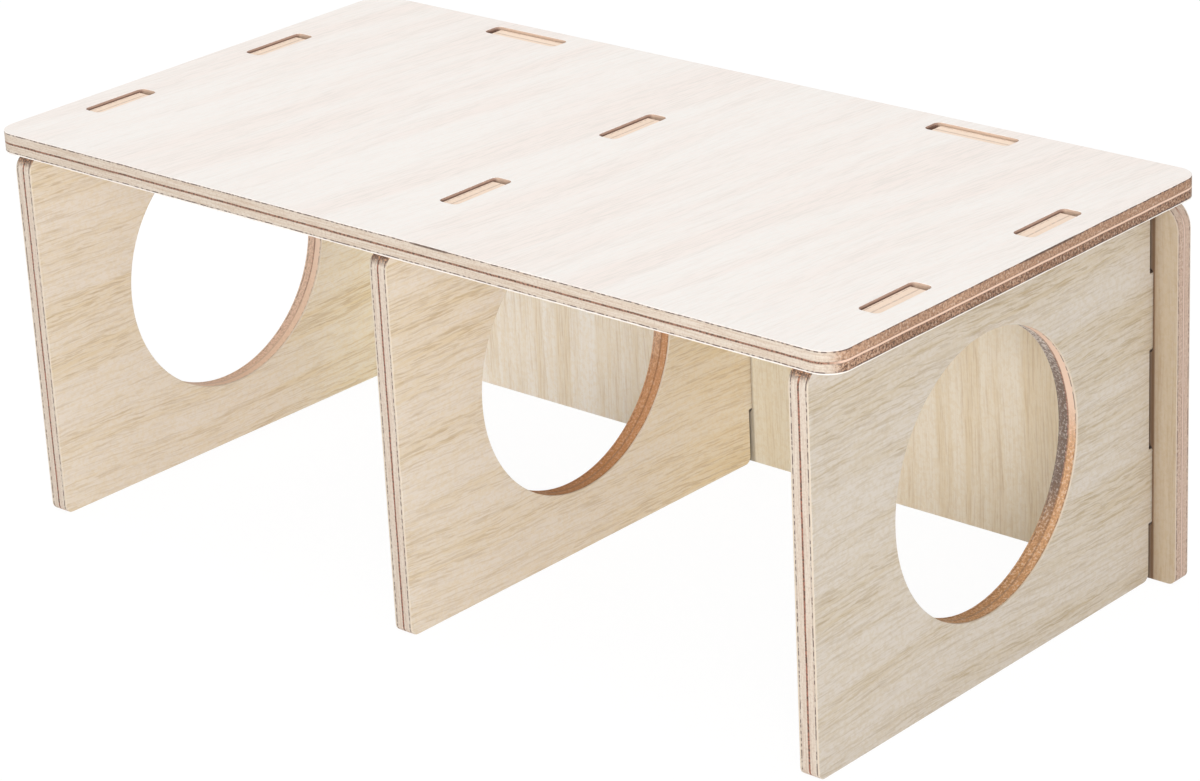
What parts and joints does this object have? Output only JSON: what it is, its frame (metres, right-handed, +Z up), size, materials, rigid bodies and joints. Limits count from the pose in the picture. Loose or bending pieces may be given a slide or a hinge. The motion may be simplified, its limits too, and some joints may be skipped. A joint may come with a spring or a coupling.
{
  "type": "hamster house",
  "caption": "Flat-pack plywood hamster house: a lift-off roof slots over upright dividers with round doors and a long back panel; the front and the underside are open.",
  "frame": {"origin": "on the floor under the middle of the roof", "axes": "+X to the right along the length, +Y from the open front to the back panel, +Z up"},
  "size_m": [0.27, 0.14, 0.1035],
  "materials": {
    "roof_plywood": "bare sanded pale veneer",
    "wall_plywood": "bare sanded veneer with laser-cut edges"
  },
  "bodies": {
    "walls": {"left_divider": "wall_plywood", "middle_divider": "wall_plywood", "right_divider": "wall_plywood", "back_panel": "wall_plywood"},
    "roof": {"roof": "roof_plywood"}
  },
  "joints": [
    {"name": "roof_lift", "type": "slide", "parent": "walls", "child": "roof", "axis": [0, 0, 1], "range_m": [0, 0.04]}
  ]
}
